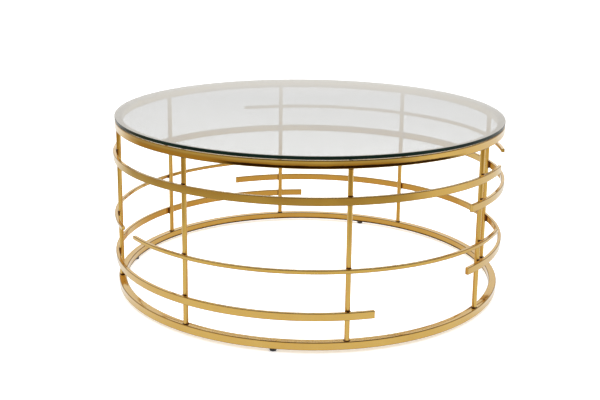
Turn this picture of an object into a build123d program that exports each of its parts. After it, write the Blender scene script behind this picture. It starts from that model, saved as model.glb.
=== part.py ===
"""Round coffee table: a clear glass disc on an open frame of polished gold tube.

The frame is a bottom ring and a top ring of square tube, eight upright posts of round
tube between them, and seven rectangular tubes bent to arcs, which run round the outside
of the posts at different heights and stop short of one another.  Four levelling glides screw into
rivet nuts in the bottom ring, and the glass lies loose on clear bumpers.

Frame: origin on the floor under the middle of the table, +Z up, post 1 on +X, and the
posts numbered anticlockwise seen from above.  Millimetres and degrees.
"""
from build123d import *
import os
from math import cos, degrees, radians, sin

# Overall size
TABLE_HEIGHT = 450.0
GLASS_RADIUS = 500.0
GLASS_THICKNESS = 8.0
GLASS_ARRIS = 1.0

# Rings of square tube
RING_OUTER_RADIUS = 500.0
RING_TUBE = 19.0
RING_CORNER = 1.5
TUBE_WALL = 1.2

# Upright posts of round tube, and the circle that they stand on
POST_COUNT = 8
POST_DIAMETER = 12.0
POST_CIRCLE_RADIUS = 491.0

# Arcs of rectangular tube, welded against the outer faces of the posts
ARC_DEPTH = 9.0
ARC_CORNER = 1.0
ARC_FIT_GAP = 0.1
TALL = 18.0
THIN = 9.0
END_PLATE_THICKNESS = 2.0

# Name: first angle, last angle, height of the middle of the bar, height of the section
ARCS = {
    "upper_front_arc": (169.0, 327.0, 351.0, TALL),
    "upper_back_arc": (-14.5, 103.0, 359.0, THIN),
    "high_right_arc": (-52.0, 142.0, 291.0, TALL),
    "middle_back_arc": (80.0, 195.0, 192.0, THIN),
    "middle_front_arc": (204.0, 327.5, 192.0, THIN),
    "low_right_arc": (-52.5, 106.3, 139.0, TALL),
    "low_left_arc": (82.0, 276.8, 88.0, TALL),
}

# Clear bumpers between the top ring and the glass
BUMPER_RADIUS = 5.0
BUMPER_THICKNESS = 1.5

# Levelling glides and the rivet nuts that hold them
GLIDE_ANGLES = (-20.0, 60.0, 158.0, 250.8)
PAD_RADIUS = 8.0
PAD_HEIGHT = 6.0
PAD_EDGE = 2.5
PAD_TOP_EDGE = 0.6
NUT_FLANGE_RADIUS = 6.5
NUT_FLANGE_THICKNESS = 1.0
NUT_SHANK_RADIUS = 4.5
NUT_SHANK_LENGTH = 10.0
NUT_BULGE_RADIUS = 5.8
NUT_BULGE_LENGTH = 2.5
THREAD_RADIUS = 3.0
THREAD_CLEARANCE = 0.05
STUD_START = 2.0
STUD_LENGTH = 16.0
STUD_CHAMFER = 0.6

# Levels and radii worked out from the sizes above
ring_underside = PAD_HEIGHT + NUT_FLANGE_THICKNESS
glass_underside = TABLE_HEIGHT - GLASS_THICKNESS
top_ring_top = glass_underside - BUMPER_THICKNESS
post_bottom = ring_underside + RING_TUBE
post_top = top_ring_top - RING_TUBE
ring_middle_radius = RING_OUTER_RADIUS - RING_TUBE / 2
arc_inner_radius = POST_CIRCLE_RADIUS + POST_DIAMETER / 2 + ARC_FIT_GAP
arc_middle_radius = arc_inner_radius + ARC_DEPTH / 2
post_angles = [number * 360.0 / POST_COUNT for number in range(POST_COUNT)]


def radial_plane(angle):
    """Upright plane through the table's axis: local x points outwards, local y up."""
    outwards = (cos(radians(angle)), sin(radians(angle)), 0)
    normal = (sin(radians(angle)), -cos(radians(angle)), 0)
    return Plane(origin=(0, 0, 0), x_dir=outwards, z_dir=normal)


def level_plane(angle, radius, height):
    """Level plane at a point of the table, with local x pointing outwards."""
    outwards = (cos(radians(angle)), sin(radians(angle)), 0)
    place = (radius * outwards[0], radius * outwards[1], height)
    return Plane(origin=place, x_dir=outwards, z_dir=(0, 0, 1))


def save(piece, label):
    """Give the piece its name and write it as its own STEP file."""
    piece.label = label
    export_step(piece, f"parts/{label}.step")


def make_ring(label, underside, hole_angles):
    """Closed ring of hollow square tube, with holes for rivet nuts in its underside."""
    middle = (ring_middle_radius, underside + RING_TUBE / 2)
    with BuildPart() as ring:
        with BuildSketch(Plane.XZ):
            with Locations(middle):
                RectangleRounded(RING_TUBE, RING_TUBE, RING_CORNER)
                inside = RING_TUBE - 2 * TUBE_WALL
                Rectangle(inside, inside, mode=Mode.SUBTRACT)
        revolve(axis=Axis.Z)
        for angle in hole_angles:
            with BuildSketch(level_plane(angle, ring_middle_radius, underside)):
                Circle(NUT_SHANK_RADIUS)
            extrude(amount=TUBE_WALL, mode=Mode.SUBTRACT)
    save(ring.part, label)


def make_post(label, angle):
    """Upright round tube standing between the two rings."""
    with BuildPart() as post:
        with BuildSketch(level_plane(angle, POST_CIRCLE_RADIUS, post_bottom)):
            Circle(POST_DIAMETER / 2)
            Circle(POST_DIAMETER / 2 - TUBE_WALL, mode=Mode.SUBTRACT)
        extrude(amount=post_top - post_bottom)
    save(post.part, label)


def make_arc(label, first, last, middle_height, height):
    """Hollow rectangular tube bent to an arc round the table's axis."""
    with BuildPart() as arc:
        with BuildSketch(radial_plane(first)):
            with Locations((arc_middle_radius, middle_height)):
                RectangleRounded(ARC_DEPTH, height, ARC_CORNER)
                Rectangle(ARC_DEPTH - 2 * TUBE_WALL, height - 2 * TUBE_WALL, mode=Mode.SUBTRACT)
        revolve(axis=Axis.Z, revolution_arc=last - first)
    save(arc.part, label)


def make_end_plates(label, section_height):
    """Plates let into both ends of every arc of one section, flush with the tube."""
    plate_angle = degrees(END_PLATE_THICKNESS / arc_middle_radius)
    arcs = [arc for arc in ARCS.values() if arc[3] == section_height]
    with BuildPart() as plates:
        for first, last, middle_height, height in arcs:
            for start in (first, last - plate_angle):
                with BuildSketch(radial_plane(start)):
                    with Locations((arc_middle_radius, middle_height)):
                        Rectangle(ARC_DEPTH - 2 * TUBE_WALL, height - 2 * TUBE_WALL)
                revolve(axis=Axis.Z, revolution_arc=plate_angle)
    save(plates.part, label)


def make_glass_top():
    """Clear disc with a small arris round both edges of its rim."""
    with BuildPart() as glass:
        with BuildSketch(Plane.XY.offset(glass_underside)):
            Circle(GLASS_RADIUS)
        extrude(amount=GLASS_THICKNESS)
        chamfer(glass.edges().filter_by(GeomType.CIRCLE), length=GLASS_ARRIS)
    save(glass.part, "glass_top")


def make_bumpers():
    """Clear discs on the top ring, one over each post, on which the glass lies."""
    with BuildPart() as bumpers:
        with BuildSketch(Plane.XY.offset(top_ring_top)):
            with PolarLocations(ring_middle_radius, POST_COUNT):
                Circle(BUMPER_RADIUS)
        extrude(amount=BUMPER_THICKNESS)
    save(bumpers.part, "glass_bumpers")


def make_rivet_nut(label, angle):
    """Rivet nut: flange under the ring, shank through its wall, bulge locking it inside."""
    with BuildPart() as nut:
        with BuildSketch(level_plane(angle, ring_middle_radius, PAD_HEIGHT)):
            Circle(NUT_FLANGE_RADIUS)
            Circle(THREAD_RADIUS, mode=Mode.SUBTRACT)
        extrude(amount=NUT_FLANGE_THICKNESS)
        with BuildSketch(level_plane(angle, ring_middle_radius, ring_underside)):
            Circle(NUT_SHANK_RADIUS)
            Circle(THREAD_RADIUS, mode=Mode.SUBTRACT)
        extrude(amount=NUT_SHANK_LENGTH)
        with BuildSketch(level_plane(angle, ring_middle_radius, ring_underside + TUBE_WALL)):
            Circle(NUT_BULGE_RADIUS)
            Circle(THREAD_RADIUS, mode=Mode.SUBTRACT)
        extrude(amount=NUT_BULGE_LENGTH)
    save(nut.part, label)


def make_glide_pad(label, angle):
    """Moulded pad with a rounded floor edge and a blind hole for its stud."""
    with BuildPart() as pad:
        with BuildSketch(level_plane(angle, ring_middle_radius, 0)):
            Circle(PAD_RADIUS)
        extrude(amount=PAD_HEIGHT)
        rims = pad.edges().filter_by(GeomType.CIRCLE).sort_by(Axis.Z)
        fillet(rims[0], radius=PAD_EDGE)
        fillet(rims[-1], radius=PAD_TOP_EDGE)
        with BuildSketch(level_plane(angle, ring_middle_radius, STUD_START)):
            Circle(THREAD_RADIUS - THREAD_CLEARANCE)
        extrude(amount=PAD_HEIGHT - STUD_START, mode=Mode.SUBTRACT)
    save(pad.part, label)


def make_glide_stud(label, angle):
    """Threaded stud, moulded into its pad and turning in the rivet nut."""
    with BuildPart() as stud:
        with BuildSketch(level_plane(angle, ring_middle_radius, STUD_START)):
            Circle(THREAD_RADIUS - THREAD_CLEARANCE)
        extrude(amount=STUD_LENGTH)
        tip = stud.edges().filter_by(GeomType.CIRCLE).sort_by(Axis.Z)[-1]
        chamfer(tip, length=STUD_CHAMFER)
    save(stud.part, label)


os.makedirs("parts", exist_ok=True)

make_ring("bottom_ring", ring_underside, GLIDE_ANGLES)
make_ring("top_ring", top_ring_top - RING_TUBE, ())
for number, post_angle in enumerate(post_angles, start=1):
    make_post(f"post_{number}", post_angle)
for arc_name, (first_angle, last_angle, arc_height, arc_section) in ARCS.items():
    make_arc(arc_name, first_angle, last_angle, arc_height, arc_section)
make_end_plates("tall_arc_end_plates", TALL)
make_end_plates("thin_arc_end_plates", THIN)
make_glass_top()
make_bumpers()
for number, glide_angle in enumerate(GLIDE_ANGLES, start=1):
    make_rivet_nut(f"rivet_nut_{number}", glide_angle)
    make_glide_pad(f"glide_pad_{number}", glide_angle)
    make_glide_stud(f"glide_stud_{number}", glide_angle)
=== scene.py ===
"""Looks of the round coffee table: polished gold frame, clear glass top, studio and camera.

Metres, in the frame of the CAD model: floor at z = 0, middle of the table on the z axis,
post 1 on +X.  Places and outer sizes come from the CAD nodes.  The values named below are
finer details, and the few sizes of the CAD model that a node's box doesn't show.
"""
import bpy
from math import atan2, cos, degrees, hypot, pi, radians, sin, tau

from mathutils import Matrix, Vector


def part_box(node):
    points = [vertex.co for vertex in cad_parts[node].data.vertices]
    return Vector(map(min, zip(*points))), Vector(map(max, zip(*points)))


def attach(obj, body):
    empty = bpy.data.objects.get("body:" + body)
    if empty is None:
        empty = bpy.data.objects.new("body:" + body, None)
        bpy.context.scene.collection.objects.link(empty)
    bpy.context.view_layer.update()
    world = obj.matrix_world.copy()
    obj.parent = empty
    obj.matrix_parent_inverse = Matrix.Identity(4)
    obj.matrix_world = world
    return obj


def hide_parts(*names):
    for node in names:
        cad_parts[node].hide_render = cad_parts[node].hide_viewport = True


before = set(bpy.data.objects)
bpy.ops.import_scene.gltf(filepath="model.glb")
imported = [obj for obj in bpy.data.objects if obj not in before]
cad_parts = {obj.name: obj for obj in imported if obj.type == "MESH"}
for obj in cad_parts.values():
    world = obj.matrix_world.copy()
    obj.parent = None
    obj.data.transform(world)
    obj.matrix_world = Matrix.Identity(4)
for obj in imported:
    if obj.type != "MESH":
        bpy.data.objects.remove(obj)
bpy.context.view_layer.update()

MM = 0.001

# Tubes
RING_SEGMENTS = 288
DEGREES_PER_SEGMENT = 1.25
CORNER_STEPS = 5
RING_CORNER = 1.9 * MM
RING_DISH = 0.50 * MM
DISH_ROWS = 6
# The bottom ring's corner that carries painted shade
INNER_LOWER_CORNER = 2
POST_SIDES = 40
ARC_CORNER = 1.4 * MM
SMALLEST_CORNER = 0.1 * MM
TUBE_WALL = 1.2 * MM
END_EDGE = 0.3 * MM
END_STEPS = 3
MOUTH_DEPTH = 2.6 * MM
SHARP_ANGLE = radians(50)

# End plates
PLATE_GAP = 0.22 * MM
PLATE_RECESS = 0.35 * MM
PLATE_EDGE = 0.25 * MM
PLATE_CORNER = 0.3 * MM
PLATE_BACK = 2.0 * MM

# Glass
GLASS_SEGMENTS = 360
ARRIS = 1.0 * MM
ARRIS_ROUND = 0.15 * MM

# Welds, smoothed by polishing and sunk a little into the tubes beside them
WELD_STEPS = 6
FOOT_WELD = 2.0 * MM
FOOT_WELD_SINK = 0.5 * MM
ARC_GAP = 0.1 * MM
SIDE_WELD_START = 1.2 * MM
SIDE_WELD_ON_ARC = 7.4 * MM
SIDE_WELD_ON_POST = 5.2 * MM
SIDE_WELD_SINK = 0.3 * MM
SIDE_WELD_PULL_OUT = 0.15 * MM
SIDE_WELD_PULL_SIDE = 0.35 * MM
SIDE_WELD_MARGIN = 0.4 * MM
WELD_TAPER = 0.9 * MM
TAPER_SIZES = ((0.0, 0.35), (0.4, 0.8), (1.0, 1.0))
COLLAR_REACH = 2.2 * MM
COLLAR_DROP = 1.6 * MM
COLLAR_SINK = 0.4 * MM
COLLAR_HALF_TURN = radians(80)
COLLAR_STEPS = 24
COLLAR_THINNEST = 0.1

# Glides and bumpers
PAD_SIDES = 48
PAD_GROOVE = 0.35 * MM
PAD_FLOOR_EDGE = 2.3 * MM
PAD_EDGE_STEPS = 6
THREAD_PITCH = 1.0 * MM
THREAD_DEPTH = 0.55 * MM
THREAD_STEEPNESS = 2.6
THREAD_ROOT_WIDTH = 0.3
THREAD_SIDES = 28
STUD_CHAMFER = 0.6 * MM
ROWS_PER_TURN = 10
BUMPER_SIDES = 36
GLIDE_COUNT = 4

# Studio and camera, in degrees and metres; the front is an angle from -Y
STUDIO_FRONT = -10.55
CAMERA_DISTANCE = 2.523
CAMERA_HEIGHT = 0.946
CAMERA_PITCH = 13.53
CAMERA_YAW = -0.546
CAMERA_ROLL = 0.75
CAMERA_LENS = 59.3
CAMERA_SHIFT = -0.08


# ---------------------------------------------------------------- node helpers

class Nodes:
    """Shorthand for building a node tree, which starts with its output alone."""

    def __init__(self, tree, output_kind):
        tree.nodes.clear()
        self.tree = tree
        self.output = tree.nodes.new(output_kind)

    def add(self, kind, inputs=None, **settings):
        """Makes a node; inputs are values or sockets, settings are the node's own properties."""
        node = self.tree.nodes.new(kind)
        for key, value in settings.items():
            setattr(node, key, value)
        for key, value in (inputs or {}).items():
            if isinstance(value, bpy.types.NodeSocket):
                self.tree.links.new(value, node.inputs[key])
            else:
                node.inputs[key].default_value = value
        return node

    def shade(self, kind, inputs):
        """Makes a shader and lets it be the surface."""
        shader = self.add(kind, inputs)
        self.tree.links.new(shader.outputs[0], self.output.inputs["Surface"])

    def ramp(self, factor, stops):
        """A colour ramp over (position, colour) stops."""
        node = self.add("ShaderNodeValToRGB", {"Fac": factor})
        elements = node.color_ramp.elements
        while len(elements) < len(stops):
            elements.new(0.5)
        for element, (position, colour) in zip(elements, stops):
            element.position = position
            element.color = (*colour, 1.0)
        return node.outputs["Color"]

    def remap(self, value, low, high, to_low, to_high):
        """A number moved from one range to another, and kept inside it."""
        inputs = {0: value, 1: low, 2: high, 3: to_low, 4: to_high}
        return self.add("ShaderNodeMapRange", inputs).outputs["Result"]

    def product(self, first, second):
        """Two numbers multiplied."""
        node = self.add("ShaderNodeMath", {0: first, 1: second}, operation="MULTIPLY")
        return node.outputs["Value"]

    def along(self, vector, direction):
        """How far a vector reaches along a direction."""
        inputs = {0: vector, 1: direction}
        node = self.add("ShaderNodeVectorMath", inputs, operation="DOT_PRODUCT")
        return node.outputs["Value"]

    def blend(self, factor, first, second):
        """Two colours mixed by a factor."""
        inputs = {"Factor": factor, 6: first, 7: second}
        return self.add("ShaderNodeMix", inputs, data_type="RGBA").outputs[2]

    def noise(self, scale, detail, roughness):
        """Noise over object coordinates."""
        place = self.add("ShaderNodeTexCoord").outputs["Object"]
        inputs = {"Vector": place, "Scale": scale, "Detail": detail, "Roughness": roughness}
        return self.add("ShaderNodeTexNoise", inputs).outputs["Fac"]


def new_material(name):
    """A node material and its node helper."""
    material = bpy.data.materials.new(name)
    material.use_nodes = True
    return material, Nodes(material.node_tree, "ShaderNodeOutputMaterial")


# ---------------------------------------------------------------- materials

TUBE_TONES = ((0.66, 0.385, 0.050), (0.71, 0.445, 0.080))
# Corners: painted dark reflections along every rounded edge of the tubes
CORNER_PAINTED_REFLECTION_TONES = ((0.34, 0.190, 0.032), (0.38, 0.230, 0.050))
# Painted shade on the bottom ring's inner lower corner, for the reflected shadow under the tube
PAINTED_SHADE_TONES = ((0.070, 0.030, 0.006), (0.110, 0.050, 0.012))
# Dark welds: painted shade where the arcs meet the posts
WELD_PAINTED_SHADE_TONES = ((0.085, 0.030, 0.008), (0.150, 0.060, 0.018))

# Finishes of the gold: strength of the fine grain, lowest and highest roughness
POLISHED = (0.06, 0.05, 0.11)
SMOOTHED = (0.30, 0.14, 0.26)


def gold_material(name, finish, tones, coat):
    """Polished gold-coated steel under clear lacquer: slow tone changes and faint waviness."""
    material, nodes = new_material(name)
    grain, rough_low, rough_high = finish
    tone = nodes.noise(9.0, 3.0, 0.55)
    colour = nodes.ramp(tone, [(0.30, tones[0]), (0.70, tones[1])])
    wipe = nodes.noise(60.0, 4.0, 0.6)
    roughness = nodes.remap(wipe, 0.3, 0.7, rough_low, rough_high)
    waves = nodes.noise(16.0, 1.0, 0.4)
    fine = nodes.noise(420.0, 2.0, 0.6)
    bump = nodes.add("ShaderNodeBump", {"Strength": 0.30, "Distance": 0.005, "Height": waves})
    scratch = nodes.add(
        "ShaderNodeBump",
        {"Strength": grain, "Distance": 0.0004, "Height": fine, "Normal": bump.outputs["Normal"]},
    )
    nodes.shade(
        "ShaderNodeBsdfPrincipled",
        {
            "Base Color": colour,
            "Metallic": 1.0,
            "Roughness": roughness,
            "Normal": scratch.outputs["Normal"],
            "Coat Weight": coat,
            "Coat Roughness": 0.04,
            "Coat IOR": 1.75,
        },
    )
    return material


def glass_material():
    """Clear glass of the two faces, whose body tint grows on a long slanting way through it."""
    material, nodes = new_material("clear_glass")
    streaks = nodes.noise(3.0, 2.0, 0.5)
    straight = nodes.ramp(streaks, [(0.3, (0.85, 0.875, 0.865)), (0.7, (0.88, 0.90, 0.89))])
    slanting = nodes.ramp(streaks, [(0.3, (0.055, 0.075, 0.115)), (0.7, (0.065, 0.088, 0.130))])
    slant = nodes.add("ShaderNodeLayerWeight", {"Blend": 0.5}).outputs["Facing"]
    tint = nodes.blend(nodes.remap(slant, 0.55, 0.82, 0.0, 1.0), straight, slanting)
    nodes.shade(
        "ShaderNodeBsdfPrincipled",
        {
            "Base Color": tint,
            "Roughness": 0.0,
            "IOR": 1.52,
            "Transmission Weight": 1.0,
            "Coat Weight": 0.85,
            "Coat Roughness": 0.0,
            "Coat IOR": 1.5,
        },
    )
    return material


def glass_rim_material():
    """The polished rim, where the eye looks along the whole width of the glass."""
    material, nodes = new_material("glass_rim")
    depth = nodes.noise(14.0, 2.0, 0.5)
    colour = nodes.ramp(depth, [(0.3, (0.0012, 0.006, 0.0045)), (0.7, (0.003, 0.012, 0.009))])
    nodes.shade(
        "ShaderNodeBsdfPrincipled",
        {"Base Color": colour, "Roughness": 0.06, "IOR": 1.5, "Specular IOR Level": 0.1},
    )
    return material


def glass_arris_material():
    """The small polished bevels along both edges of the rim, a little paler than it."""
    material, nodes = new_material("glass_arris")
    depth = nodes.noise(30.0, 2.0, 0.5)
    colour = nodes.ramp(depth, [(0.3, (0.012, 0.022, 0.019)), (0.7, (0.025, 0.036, 0.032))])
    nodes.shade(
        "ShaderNodeBsdfPrincipled",
        {"Base Color": colour, "Roughness": 0.12, "IOR": 1.5},
    )
    return material


def silicone_material():
    """Clear soft silicone, a little cloudy."""
    material, nodes = new_material("clear_silicone")
    cloud = nodes.noise(180.0, 3.0, 0.5)
    colour = nodes.ramp(cloud, [(0.3, (0.80, 0.82, 0.82)), (0.7, (0.90, 0.91, 0.90))])
    roughness = nodes.remap(cloud, 0.3, 0.7, 0.18, 0.32)
    nodes.shade(
        "ShaderNodeBsdfPrincipled",
        {
            "Base Color": colour,
            "Roughness": roughness,
            "IOR": 1.41,
            "Transmission Weight": 0.75,
        },
    )
    return material


def steel_material():
    """Zinc-plated steel of the studs and rivet nuts."""
    material, nodes = new_material("plated_steel")
    cloud = nodes.noise(260.0, 4.0, 0.6)
    colour = nodes.ramp(cloud, [(0.3, (0.50, 0.49, 0.44)), (0.7, (0.66, 0.65, 0.60))])
    roughness = nodes.remap(cloud, 0.3, 0.7, 0.25, 0.42)
    bump = nodes.add("ShaderNodeBump", {"Strength": 0.15, "Distance": 0.0002, "Height": cloud})
    nodes.shade(
        "ShaderNodeBsdfPrincipled",
        {
            "Base Color": colour,
            "Metallic": 1.0,
            "Roughness": roughness,
            "Normal": bump.outputs["Normal"],
        },
    )
    return material


def plastic_material():
    """Black moulded plastic with a fine spark-eroded texture."""
    material, nodes = new_material("black_plastic")
    grain = nodes.noise(2600.0, 3.0, 0.6)
    colour = nodes.ramp(grain, [(0.3, (0.008, 0.008, 0.009)), (0.7, (0.018, 0.018, 0.020))])
    roughness = nodes.remap(grain, 0.3, 0.7, 0.38, 0.60)
    bump = nodes.add("ShaderNodeBump", {"Strength": 0.35, "Distance": 0.0001, "Height": grain})
    nodes.shade(
        "ShaderNodeBsdfPrincipled",
        {"Base Color": colour, "Roughness": roughness, "Normal": bump.outputs["Normal"]},
    )
    return material


GOLD = gold_material("gold_tube", POLISHED, TUBE_TONES, coat=0.8)
# painted dark reflections on the tubes' corners
CORNER_PAINTED_REFLECTION_GOLD = gold_material("gold_corner_painted_reflection", POLISHED, CORNER_PAINTED_REFLECTION_TONES, coat=0.15)
# painted shade on one corner of the bottom ring
PAINTED_SHADE_GOLD = gold_material("gold_painted_shade", POLISHED, PAINTED_SHADE_TONES, coat=0.0)
# painted shade on the welds between arcs and posts
WELD_PAINTED_SHADE_GOLD = gold_material("gold_weld_painted_shade", SMOOTHED, WELD_PAINTED_SHADE_TONES, coat=0.0)
GLASS = glass_material()
GLASS_RIM = glass_rim_material()
GLASS_ARRIS = glass_arris_material()
SILICONE = silicone_material()
STEEL = steel_material()
PLASTIC = plastic_material()


# ---------------------------------------------------------------- measuring CAD nodes

def level_range(node):
    """Lowest and highest level of a CAD node."""
    low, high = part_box(node)
    return low.z, high.z


def radius_range(node):
    """Smallest and largest distance of a CAD node's corners from the table's axis."""
    distances = [hypot(v.co.x, v.co.y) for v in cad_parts[node].data.vertices]
    return min(distances), max(distances)


def angle_range(node):
    """First and last angle of a CAD node that goes part of the way round the table."""
    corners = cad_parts[node].data.vertices
    angles = sorted({round(atan2(v.co.y, v.co.x) % tau, 7) for v in corners})
    following = angles[1:] + [angles[0] + tau]
    gap, last, first = max((b - a, a, b) for a, b in zip(angles, following))
    return first - tau, last


def middle_of(node):
    """The middle of a CAD node's box."""
    low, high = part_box(node)
    return (low + high) / 2


def half_width(node):
    """Half of the width of a CAD node's box along X, the radius of an upright round node."""
    low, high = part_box(node)
    return (high.x - low.x) / 2


def section_middle(node):
    """Radius and level of the middle of a bent tube's section."""
    return sum(radius_range(node)) / 2, sum(level_range(node)) / 2


def section_size(node):
    """Depth and height of a bent tube's section."""
    inner, outer = radius_range(node)
    low, high = level_range(node)
    return outer - inner, high - low


ARCS = sorted(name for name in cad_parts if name.endswith("_arc"))
POSTS = sorted(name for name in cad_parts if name.startswith("post_"))
POST_RADIUS = half_width("post_1")
THIN_HEIGHT = min(section_size(arc)[1] for arc in ARCS)
THIN_ARCS = [arc for arc in ARCS if section_size(arc)[1] < THIN_HEIGHT * 1.5]
TALL_ARCS = [arc for arc in ARCS if arc not in THIN_ARCS]


# ---------------------------------------------------------------- mesh helpers

def make_piece(name, mesh_data, materials, body="frame", node=None, face_slots=()):
    """A smooth-shaded piece that rides on a CAD body and may stand for a CAD node."""
    corners, faces = mesh_data
    mesh = bpy.data.meshes.new(name)
    mesh.from_pydata(corners, [], faces)
    mesh.validate()
    for material in materials:
        mesh.materials.append(material)
    for index, face_slot in enumerate(face_slots):
        mesh.polygons[index].material_index = face_slot
    mesh.polygons.foreach_set("use_smooth", [True] * len(mesh.polygons))
    mesh.set_sharp_from_angle(angle=SHARP_ANGLE)
    piece = bpy.data.objects.new(name, mesh)
    bpy.context.scene.collection.objects.link(piece)
    weighted = piece.modifiers.new("even_normals", "WEIGHTED_NORMAL")
    weighted.keep_sharp = True
    weighted.mode = "FACE_AREA"
    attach(piece, body)
    if node:
        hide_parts(node)
    return piece


def on_circle(radius, angle, level, centre=(0.0, 0.0)):
    """The point at a radius, angle and level round the table's axis, or round another centre."""
    return (centre[0] + radius * cos(angle), centre[1] + radius * sin(angle), level)


def loop(radius, level, sides, centre=(0.0, 0.0)):
    """Corners of a level circle, anticlockwise from above."""
    return [on_circle(radius, side * tau / sides, level, centre) for side in range(sides)]


def rounded_section(width, height, corner):
    """Points (across, up) anticlockwise round a rectangle with rounded corners."""
    points = []
    for quarter, (side, rise) in enumerate(((1, 1), (-1, 1), (-1, -1), (1, -1))):
        turn = quarter * pi / 2
        centre = (side * (width / 2 - corner), rise * (height / 2 - corner))
        for step in range(CORNER_STEPS + 1):
            angle = turn + step / CORNER_STEPS * pi / 2
            points.append((centre[0] + corner * cos(angle), centre[1] + corner * sin(angle)))
    return points


def dished_section(width, height, corner):
    """A rounded rectangle whose four flats sink towards their middles, as a rolled tube's do."""
    points = []
    sides = rounded_section(width, height, corner)
    for quarter in range(4):
        run = sides[quarter * (CORNER_STEPS + 1):(quarter + 1) * (CORNER_STEPS + 1)]
        points += run
        start = Vector(run[-1])
        end = Vector(sides[(quarter + 1) * (CORNER_STEPS + 1) % len(sides)])
        inwards = Vector((-(end - start).y, (end - start).x)).normalized()
        for row in range(1, DISH_ROWS):
            share = row / DISH_ROWS
            sink = RING_DISH * (1 - (2 * share - 1) ** 2)
            points.append(tuple(start.lerp(end, share) + inwards * sink))
    return points


def strip_faces(first_start, second_start, count):
    """Quads between two closed loops of count corners."""
    following = [(i, (i + 1) % count) for i in range(count)]
    return [
        (first_start + i, first_start + j, second_start + j, second_start + i)
        for i, j in following
    ]


def corner_bands(section_count, strips, painted_shade_corner=None):
    """Material slot of each quad along a tube: 0 on flats, 1 on corners, 2 in a shaded one.

    Corners carry painted dark reflections, and the shaded one carries painted shade. The strip of
    flat that leads to a shaded corner is shaded with it.
    """
    quarter = section_count // 4
    band = []
    for i in range(section_count):
        on_corner = i % quarter < CORNER_STEPS
        shaded = (i + 1) // quarter == painted_shade_corner and (i + 1) % quarter <= CORNER_STEPS
        band.append(2 if shaded else int(on_corner))
    return band * strips


def lathe_mesh(profile, segments, centre=(0.0, 0.0)):
    """Corners and faces of a closed (radius, level) profile turned about an upright axis."""
    corners = []
    faces = []
    count = len(profile)
    for segment in range(segments):
        angle = segment * tau / segments
        corners += [on_circle(radius, angle, level, centre) for radius, level in profile]
        following = (segment + 1) % segments
        faces += strip_faces(following * count, segment * count, count)
    return corners, faces


def capped_run(sections, flipped=False):
    """Corners and faces of a solid through closed sections, with a cap at each end.

    The sections turn anticlockwise as seen from the last one's side, or clockwise if flipped.
    """
    count = len(sections[0])
    corners = []
    faces = []
    for number, section in enumerate(sections):
        corners += section
        if number:
            near, far = (number - 1) * count, number * count
            if flipped:
                near, far = far, near
            faces += strip_faces(near, far, count)
    first = range(count)
    last = range(len(corners) - count, len(corners))
    faces.append(tuple(first if flipped else reversed(first)))
    faces.append(tuple(reversed(last) if flipped else last))
    return corners, faces


def joined(meshes):
    """Corners and faces of several meshes in one."""
    corners = []
    faces = []
    for more_corners, more_faces in meshes:
        start = len(corners)
        corners += more_corners
        faces += [tuple(start + corner for corner in face) for face in more_faces]
    return corners, faces


# ---------------------------------------------------------------- gold frame

def make_ring(node, painted_shade_corner=None):
    """One closed ring of square tube with painted dark reflections on its corners; one corner may
    carry painted shade for the reflected shadow under the tube.
    """
    radius, level = section_middle(node)
    section = dished_section(*section_size(node), RING_CORNER)
    profile = [(radius + across, level + up) for across, up in section]
    make_piece(
        node + "_tube",
        lathe_mesh(profile, RING_SEGMENTS),
        [GOLD, CORNER_PAINTED_REFLECTION_GOLD, PAINTED_SHADE_GOLD],
        node=node,
        face_slots=corner_bands(len(section), RING_SEGMENTS, painted_shade_corner),
    )


def make_post(node):
    """One upright post of round tube."""
    middle = middle_of(node)
    ends = [loop(POST_RADIUS, level, POST_SIDES, middle) for level in level_range(node)]
    make_piece(node + "_tube", capped_run(ends), [GOLD], node=node)


def softened_end():
    """Steps (set back from the tube's end, set in from its faces) round a softened end."""
    for step in range(END_STEPS + 1):
        turn = step / END_STEPS * pi / 2
        yield END_EDGE * (1 - cos(turn)), END_EDGE * (1 - sin(turn))


def arc_stations(first, last, radius):
    """Angles along an arc and how far its section is set in there, with a mouth at each end."""
    segments = round(degrees(last - first) / DEGREES_PER_SEGMENT)
    mouth = MOUTH_DEPTH / radius
    edge = list(softened_end())
    stations = [(first + mouth, TUBE_WALL), (first, TUBE_WALL)]
    stations += [(first + back / radius, inset) for back, inset in edge]
    for segment in range(1, segments):
        stations.append((first + (last - first) * segment / segments, 0.0))
    stations += [(last - back / radius, inset) for back, inset in reversed(edge)]
    stations += [(last, TUBE_WALL), (last - mouth, TUBE_WALL)]
    return stations


def make_arc(node):
    """One bent bar of rectangular tube, with softened ends and an open mouth at each."""
    radius, level = section_middle(node)
    depth, height = section_size(node)
    stations = arc_stations(*angle_range(node), radius)
    sections = []
    for angle, inset in stations:
        corner = max(ARC_CORNER - inset, SMALLEST_CORNER)
        section = rounded_section(depth - 2 * inset, height - 2 * inset, corner)
        sections.append([on_circle(radius + across, angle, level + up) for across, up in section])
    make_piece(
        node + "_tube",
        capped_run(sections, flipped=True),
        # the corners carry painted dark reflections
        [GOLD, CORNER_PAINTED_REFLECTION_GOLD],
        node=node,
        face_slots=corner_bands(len(section), len(stations) - 1),
    )


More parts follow.
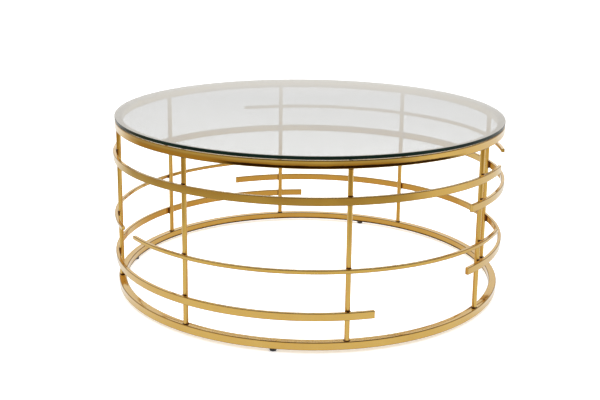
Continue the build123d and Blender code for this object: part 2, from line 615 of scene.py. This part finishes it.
def end_plate(arc, end, inwards):
    """One plate, let into an end of an arc a hair below the mouth's rim."""
    radius, level = section_middle(arc)
    depth, height = section_size(arc)
    width = depth - 2 * (TUBE_WALL + PLATE_GAP)
    rise = height - 2 * (TUBE_WALL + PLATE_GAP)
    stations = []
    for step in range(END_STEPS + 1):
        turn = step / END_STEPS * pi / 2
        set_back = PLATE_RECESS + PLATE_EDGE * (1 - cos(turn))
        stations.append((set_back, PLATE_EDGE * (1 - sin(turn))))
    stations.append((PLATE_BACK, 0.0))
    sections = []
    for set_back, inset in stations:
        angle = end + inwards * set_back / radius
        section = rounded_section(width - 2 * inset, rise - 2 * inset, PLATE_CORNER)
        sections.append([on_circle(radius + across, angle, level + up) for across, up in section])
    return capped_run(sections, flipped=inwards > 0)


def make_end_plates(node, arcs):
    """The plates let into both ends of some arcs."""
    plates = [
        end_plate(arc, end, inwards)
        for arc in arcs
        for end, inwards in zip(angle_range(arc), (1, -1))
    ]
    make_piece(node + "_set", joined(plates), [GOLD], node=node)


make_ring("top_ring")
make_ring("bottom_ring", INNER_LOWER_CORNER)
for post in POSTS:
    make_post(post)
for arc in ARCS:
    make_arc(arc)
make_end_plates("thin_arc_end_plates", THIN_ARCS)
make_end_plates("tall_arc_end_plates", TALL_ARCS)


# ---------------------------------------------------------------- glass

def make_glass():
    """The glass disc, with its rim and arrises as bands of their own."""
    outer = radius_range("glass_top")[1]
    low, high = level_range("glass_top")
    profile = [
        (outer - ARRIS, high, 0),
        (outer - ARRIS + ARRIS_ROUND, high - ARRIS_ROUND / 2, 1),
        (outer - ARRIS_ROUND / 2, high - ARRIS + ARRIS_ROUND, 1),
        (outer, high - ARRIS, 1),
        (outer, low + ARRIS, 2),
        (outer - ARRIS_ROUND / 2, low + ARRIS - ARRIS_ROUND, 1),
        (outer - ARRIS + ARRIS_ROUND, low + ARRIS_ROUND / 2, 1),
        (outer - ARRIS, low, 1),
    ]
    loops = [loop(radius, level, GLASS_SEGMENTS) for radius, level, _ in profile]
    bands = []
    for _, _, band in profile[1:]:
        bands += [band] * GLASS_SEGMENTS
    disc = make_piece(
        "glass_top_disc",
        capped_run(loops, flipped=True),
        [GLASS, GLASS_ARRIS, GLASS_RIM],
        body="glass",
        node="glass_top",
        face_slots=bands,
    )
    disc.visible_shadow = False
    disc.visible_diffuse = False


make_glass()


# ---------------------------------------------------------------- welds

def fillet_steps(reach):
    """Points (away from one face, away from the other) along a hollow fillet between them."""
    for step in range(WELD_STEPS + 1):
        turn = step / WELD_STEPS * pi / 2
        yield reach * (1 - cos(turn)), reach * (1 - sin(turn))


def make_foot_welds():
    """Small smoothed fillets round both ends of every post, against the rings."""
    for post in POSTS:
        low, high = level_range(post)
        for end, level, upwards in (("foot", low, 1), ("head", high, -1)):
            profile = [(POST_RADIUS - FOOT_WELD_SINK, level)]
            for rise, out in fillet_steps(FOOT_WELD):
                profile.append((POST_RADIUS + out, level + rise * upwards))
            profile.append((POST_RADIUS - FOOT_WELD_SINK, level + FOOT_WELD * upwards))
            if upwards < 0:
                profile.reverse()
            weld = lathe_mesh(profile, POST_SIDES, middle_of(post))
            make_piece(f"{post}_{end}_weld", weld, [WELD_PAINTED_SHADE_GOLD])


def crossings(arc):
    """Axis and angle of each post that an arc passes."""
    first, last = angle_range(arc)
    for post in POSTS:
        centre = middle_of(post)
        angle = atan2(centre.y, centre.x)
        if any(first < angle + turn * tau < last for turn in (-1, 0, 1)):
            yield centre, angle


def curve(start, pull, end, share):
    """A number part of the way from start to end, drawn towards pull in between."""
    return (1 - share) ** 2 * start + 2 * share * (1 - share) * pull + share ** 2 * end


def side_weld_section(size):
    """Points (outwards from the post's axis, sideways) of a fillet beside an arc and a post."""
    arc_face = POST_RADIUS + ARC_GAP
    start = SIDE_WELD_START
    on_arc = start + (SIDE_WELD_ON_ARC - start) * size
    on_post = start + (SIDE_WELD_ON_POST - start) * size
    post_face = (POST_RADIUS ** 2 - on_post ** 2) ** 0.5
    pull_out = arc_face - SIDE_WELD_PULL_OUT * size
    pull_side = (on_arc + on_post) / 2 - SIDE_WELD_PULL_SIDE * size
    points = [(arc_face + SIDE_WELD_SINK, start), (arc_face + SIDE_WELD_SINK, on_arc)]
    for step in range(WELD_STEPS + 1):
        share = step / WELD_STEPS
        out = curve(arc_face, pull_out, post_face, share)
        points.append((out, curve(on_arc, pull_side, on_post, share)))
    points.append(((POST_RADIUS ** 2 - start ** 2) ** 0.5 - SIDE_WELD_SINK, start))
    return points


def side_weld(low, high, centre, angle, side):
    """One fillet in the groove on one side of a post, tapered at both ends."""
    bottom = low + SIDE_WELD_MARGIN
    top = high - SIDE_WELD_MARGIN
    stations = [(bottom + WELD_TAPER * share, size) for share, size in TAPER_SIZES]
    stations += [(top - WELD_TAPER * share, size) for share, size in reversed(TAPER_SIZES)]
    circle = hypot(centre.x, centre.y)
    outwards = Vector((cos(angle), sin(angle)))
    sideways = Vector((-sin(angle), cos(angle)))
    sections = []
    for level, size in stations:
        section = []
        for out, along in side_weld_section(size):
            place = outwards * (circle + out) + sideways * (along * side)
            section.append((place.x, place.y, level))
        sections.append(section)
    return capped_run(sections, flipped=side < 0)


def make_side_welds():
    """Slim fillets in the two grooves wherever an arc passes a post."""
    for arc in ARCS:
        low, high = level_range(arc)
        welds = [
            side_weld(low, high, centre, angle, side)
            for centre, angle in crossings(arc)
            for side in (1, -1)
        ]
        make_piece(arc + "_welds", joined(welds), [WELD_PAINTED_SHADE_GOLD])


def collar(centre, angle, level, upwards):
    """One bead part of the way round a post, on the upper or the lower face of an arc."""
    profile = [(-COLLAR_SINK, COLLAR_REACH)]
    profile += fillet_steps(COLLAR_REACH)
    profile += [(COLLAR_REACH, -COLLAR_DROP), (-COLLAR_SINK, -COLLAR_DROP)]
    sections = []
    for step in range(COLLAR_STEPS + 1):
        share = 2 * step / COLLAR_STEPS - 1
        turn = angle + COLLAR_HALF_TURN * share
        size = max(1 - share ** 4, COLLAR_THINNEST)
        sections.append([
            on_circle(POST_RADIUS + out * size, turn, level + rise * size * upwards, centre)
            for out, rise in profile
        ])
    return capped_run(sections, flipped=upwards < 0)


def make_collar_welds():
    """Beads round the outer half of each post, in the corners above and below an arc."""
    for arc in ARCS:
        low, high = level_range(arc)
        collars = [
            collar(centre, angle, level, upwards)
            for centre, angle in crossings(arc)
            for level, upwards in ((high, 1), (low, -1))
        ]
        make_piece(arc + "_collars", joined(collars), [WELD_PAINTED_SHADE_GOLD])


make_foot_welds()
make_side_welds()
make_collar_welds()


# ---------------------------------------------------------------- small parts

def capped_lathe(profile, sides, centre):
    """A solid turned from the (radius, level) profile of its side, upwards, with flat ends."""
    return capped_run([loop(radius, level, sides, centre) for radius, level in profile])


def make_bumpers():
    """Clear discs with softly rounded top edges, under the glass."""
    ring_radius = section_middle("top_ring")[0]
    low, high = level_range("glass_bumpers")
    inner, outer = radius_range("glass_bumpers")
    radius = (outer - inner) / 2
    thickness = high - low
    profile = [
        (radius - 0.15 * MM, low),
        (radius, low + 0.15 * MM),
        (radius, low + thickness * 0.55),
        (radius - 0.18 * MM, low + thickness * 0.80),
        (radius - 0.65 * MM, low + thickness * 0.96),
        (radius - 1.3 * MM, low + thickness),
    ]
    bumpers = []
    for post in POSTS:
        centre = middle_of(post)
        place = on_circle(ring_radius, atan2(centre.y, centre.x), low)
        bumpers.append(capped_lathe(profile, BUMPER_SIDES, place))
    make_piece(
        "glass_bumper_set", joined(bumpers), [SILICONE], node="glass_bumpers"
    )


def make_pad(number):
    """A moulded pad with a rounded floor edge and a fine groove round its side."""
    node = f"glide_pad_{number}"
    low, high = level_range(node)
    radius = half_width(node)
    height = high - low
    profile = []
    for step in range(PAD_EDGE_STEPS + 1):
        turn = step / PAD_EDGE_STEPS * pi / 2
        rise = PAD_FLOOR_EDGE * (1 - cos(turn))
        profile.append((radius - PAD_FLOOR_EDGE * (1 - sin(turn)), low + rise))
    profile += [
        (radius, low + height * 0.52),
        (radius - PAD_GROOVE, low + height * 0.58),
        (radius - PAD_GROOVE, low + height * 0.68),
        (radius, low + height * 0.74),
        (radius, low + height - 0.6 * MM),
        (radius - 0.2 * MM, low + height - 0.2 * MM),
        (radius - 0.7 * MM, low + height),
    ]
    pad = capped_lathe(profile, PAD_SIDES, middle_of(node))
    body = f"glide_{number}"
    make_piece(node + "_moulding", pad, [PLASTIC], body=body, node=node)


def make_stud(number):
    """A stud with a rolled thread, its tip chamfered."""
    node = f"glide_stud_{number}"
    low, high = level_range(node)
    centre = middle_of(node)
    radius = half_width(node)
    rows = round((high - low) / THREAD_PITCH * ROWS_PER_TURN)
    loops = []
    for row in range(rows + 1):
        level = low + (high - low) * row / rows
        limit = min(radius, radius - STUD_CHAMFER + (high - level))
        corners = []
        for side in range(THREAD_SIDES):
            share = side / THREAD_SIDES
            phase = ((level - low) / THREAD_PITCH - share) % 1.0
            ridge = abs(phase - 0.5) * THREAD_STEEPNESS - THREAD_ROOT_WIDTH
            ridge = min(1.0, max(0.0, ridge))
            here = min(limit, radius - THREAD_DEPTH * (1.0 - ridge))
            corners.append(on_circle(here, share * tau, level, centre))
        loops.append(corners)
    body = f"glide_{number}"
    stud = capped_run(loops)
    make_piece(node + "_thread", stud, [STEEL], body=body, node=node)


make_bumpers()
for glide_number in range(1, GLIDE_COUNT + 1):
    make_pad(glide_number)
    make_stud(glide_number)
    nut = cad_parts[f"rivet_nut_{glide_number}"]
    nut.data.materials[0] = STEEL


# ---------------------------------------------------------------- studio

def make_plane(name, corners, material):
    """A flat sheet for the studio."""
    mesh = bpy.data.meshes.new(name)
    mesh.from_pydata(corners, [], [tuple(range(len(corners)))])
    mesh.materials.append(material)
    plane = bpy.data.objects.new(name, mesh)
    bpy.context.scene.collection.objects.link(plane)
    return plane


def floor_material():
    """Pale matt studio floor."""
    material, nodes = new_material("studio_floor")
    cloud = nodes.noise(1.5, 3.0, 0.5)
    colour = nodes.ramp(cloud, [(0.3, (0.91, 0.91, 0.91)), (0.7, (0.93, 0.93, 0.93))])
    nodes.shade(
        "ShaderNodeBsdfPrincipled",
        {
            "Base Color": colour,
            "Roughness": 0.9,
            "Specular IOR Level": 0.1,
            "Emission Color": (1.0, 1.0, 1.0, 1.0),
            "Emission Strength": 0.30,
        },
    )
    return material


FLOOR_RADIUS = 40.0
FLOOR_SIDES = 64

# Sectors round the table, from the studio's front: first and last angle, softness
DIM_FLOOR_SECTOR = (-115.0, 52.0, 12.0)
DARK_ROOM_SECTOR = (-46.0, 84.0, 8.0)

# Colours and brightness by height, as the upward part of a direction, of the painted reflection
# that mirror rays alone see
SKY_HEIGHTS = [
    (0.00, (1.04, 1.01, 0.95)),
    (0.17, (1.04, 1.00, 0.93)),
    (0.25, (0.88, 0.84, 0.78)),
    (0.50, (0.86, 0.84, 0.80)),
    (0.90, (0.88, 0.88, 0.88)),
]
ROOM_HEIGHTS = [
    (0.07, (1.0, 1.0, 1.0)),
    (0.13, (0.0, 0.0, 0.0)),
    (0.34, (0.0, 0.0, 0.0)),
    (0.42, (1.0, 1.0, 1.0)),
    (0.90, (1.0, 1.0, 1.0)),
    (0.97, (0.0, 0.0, 0.0)),
]
# Painted reflection: a dark wall that only mirror rays see, in the room's front sector
DARK_WALL = (0.03, 0.015, 0.008, 1.0)
SURROUNDINGS = (1.0, 1.0, 1.0, 1.0)

# Colours of the floor card, a painted reflection of the floor, by distance from the table's axis,
# as shares of its reach
CARD_REACH = 4.0
CARD_LEVEL = 0.003
CARD_SIDES = [(0.14, (0.92, 0.92, 0.92)), (0.25, (0.86, 0.86, 0.84)), (0.60, (0.94, 0.93, 0.89))]
CARD_FRONT = [
    (0.14, (0.91, 0.92, 0.94)),
    (0.20, (0.90, 0.92, 0.94)),
    (0.30, (0.78, 0.79, 0.72)),
    (0.40, (0.52, 0.48, 0.34)),
    (0.50, (0.44, 0.345, 0.17)),
    (0.62, (0.46, 0.325, 0.12)),
]
# Painted reflection of a dark floor far out in the room's front sector
DARK_FLOOR = (0.03, 0.012, 0.004, 1.0)
DARK_FLOOR_START = (2.55, 3.0)
# Painted shade of the floor under the table, as reflections show it
PAINTED_SHADE_UNDER_TABLE = (0.72, 0.58, 0.40, 1.0)
PAINTED_SHADE_UNDER_TABLE_END = (0.42, 0.50)

make_plane(
    "studio_floor",
    [on_circle(FLOOR_RADIUS, side * tau / FLOOR_SIDES, 0.0) for side in range(FLOOR_SIDES)],
    floor_material(),
)


def towards_studio_front():
    """The level direction from the table to the front of the studio, which stays where it is."""
    turn = radians(STUDIO_FRONT)
    return Vector((sin(turn), -cos(turn), 0.0))


def angle_from_front(nodes, vector):
    """Sockets of how far round a direction is from the studio's front, and its level length."""
    level = {0: vector, 1: (1, 1, 0)}
    flat = nodes.add("ShaderNodeVectorMath", level, operation="MULTIPLY").outputs["Vector"]
    front = towards_studio_front()
    right = (-front.y, front.x, 0.0)
    forwards = nodes.along(flat, tuple(front))
    sideways = nodes.along(flat, right)
    turn = nodes.add("ShaderNodeMath", {0: sideways, 1: forwards}, operation="ARCTAN2")
    length = nodes.add("ShaderNodeVectorMath", {0: flat}, operation="LENGTH")
    return turn.outputs["Value"], length.outputs["Value"]


def sector(nodes, turn, first, last, soft):
    """1 between two angles, with soft ends, and 0 outside them."""
    rise = nodes.remap(turn, radians(first - soft), radians(first + soft), 0.0, 1.0)
    fall = nodes.remap(turn, radians(last - soft), radians(last + soft), 1.0, 0.0)
    return nodes.product(rise, fall)


def make_floor_card():
    """The floor as reflections show it: lit near the table, dim in front, dark beyond. A glowing
    card that only mirror rays see, a painted reflection with painted shade under the table.
    """
    material, nodes = new_material("floor_card")
    place = nodes.add("ShaderNodeNewGeometry").outputs["Position"]
    turn, distance = angle_from_front(nodes, place)
    reach = nodes.remap(distance, 0.0, CARD_REACH, 0.0, 1.0)
    side = nodes.ramp(reach, CARD_SIDES)
    front = nodes.ramp(reach, CARD_FRONT)
    colour = nodes.blend(sector(nodes, turn, *DIM_FLOOR_SECTOR), side, front)
    far = nodes.remap(distance, *DARK_FLOOR_START, 0.0, 1.0)
    # painted dark reflection of the far floor
    dark = nodes.product(sector(nodes, turn, *DARK_ROOM_SECTOR), far)
    colour = nodes.blend(dark, colour, DARK_FLOOR)
    # painted shade under the table
    under = nodes.remap(distance, *PAINTED_SHADE_UNDER_TABLE_END, 1.0, 0.0)
    colour = nodes.blend(under, colour, PAINTED_SHADE_UNDER_TABLE)
    nodes.shade("ShaderNodeEmission", {"Color": colour, "Strength": 1.0})
    size = FLOOR_RADIUS
    corners = [(-size, -size), (size, -size), (size, size), (-size, size)]
    card = make_plane("floor_card", [(x, y, CARD_LEVEL) for x, y in corners], material)
    for ray in ("camera", "diffuse", "transmission", "volume_scatter", "shadow"):
        setattr(card, f"visible_{ray}", False)


make_floor_card()


def make_world():
    """Even white surroundings; reflections also show a pale sky and the dark front of the room, a
    painted reflection that mirror rays alone see.
    """
    world = bpy.data.worlds.new("studio_world")
    bpy.context.scene.world = world
    world.use_nodes = True
    nodes = Nodes(world.node_tree, "ShaderNodeOutputWorld")
    direction = nodes.add("ShaderNodeTexCoord").outputs["Generated"]
    turn, _ = angle_from_front(nodes, direction)
    height = nodes.add("ShaderNodeSeparateXYZ", {"Vector": direction}).outputs["Z"]
    sky = nodes.ramp(height, SKY_HEIGHTS)
    wall = nodes.ramp(height, ROOM_HEIGHTS)
    room = nodes.product(sector(nodes, turn, *DARK_ROOM_SECTOR), wall)
    # painted reflection of the sky and the dark wall, for mirror rays only
    seen = nodes.blend(room, sky, DARK_WALL)
    mirrored = nodes.add("ShaderNodeBackground", {"Color": seen, "Strength": 1.0})
    plain = nodes.add("ShaderNodeBackground", {"Color": SURROUNDINGS, "Strength": 1.1})
    in_mirror = nodes.add("ShaderNodeLightPath").outputs["Is Glossy Ray"]
    nodes.shade(
        "ShaderNodeMixShader",
        {0: in_mirror, 1: plain.outputs["Background"], 2: mirrored.outputs["Background"]},
    )


make_world()


def make_light(name, place, target, width, height, power):
    """A soft rectangular lamp aimed at a point."""
    lamp = bpy.data.lights.new(name, "AREA")
    lamp.shape = "RECTANGLE"
    lamp.size = width
    lamp.size_y = height
    lamp.energy = power
    light = bpy.data.objects.new(name, lamp)
    bpy.context.scene.collection.objects.link(light)
    light.location = place
    light.rotation_euler = (Vector(target) - Vector(place)).to_track_quat("-Z", "Y").to_euler()
    light.visible_glossy = False
    light.visible_transmission = False


make_light("overhead_softbox", (0.0, 0.3, 3.2), (0.0, 0.0, 0.2), 4.0, 3.0, 80.0)
make_light("left_softbox", (-3.2, -0.4, 1.6), (0.0, 0.0, 0.3), 2.4, 2.4, 14.0)
make_light("right_softbox", (3.2, 0.2, 1.6), (0.0, 0.0, 0.3), 2.4, 2.4, 14.0)


# ---------------------------------------------------------------- camera

def make_camera():
    """The camera at the photograph's viewing angle."""
    data = bpy.data.cameras.new("camera")
    camera = bpy.data.objects.new("camera", data)
    bpy.context.scene.collection.objects.link(camera)
    data.lens = CAMERA_LENS
    data.shift_y = CAMERA_SHIFT
    data.clip_start = 0.05
    data.clip_end = 200.0
    yaw = radians(CAMERA_YAW - STUDIO_FRONT)
    pitch = radians(CAMERA_PITCH)
    forward = Vector((sin(yaw) * cos(pitch), cos(yaw) * cos(pitch), -sin(pitch)))
    level_right = Vector((cos(yaw), -sin(yaw), 0.0))
    level_up = level_right.cross(forward)
    roll = radians(CAMERA_ROLL)
    right = level_right * cos(roll) + level_up * sin(roll)
    up = level_up * cos(roll) - level_right * sin(roll)
    place = towards_studio_front() * CAMERA_DISTANCE + Vector((0, 0, CAMERA_HEIGHT))
    rotation = Matrix((right, up, -forward)).transposed().to_4x4()
    camera.matrix_world = Matrix.Translation(place) @ rotation
    bpy.context.scene.camera = camera


make_camera()
bpy.context.scene.view_settings.view_transform = "Standard"
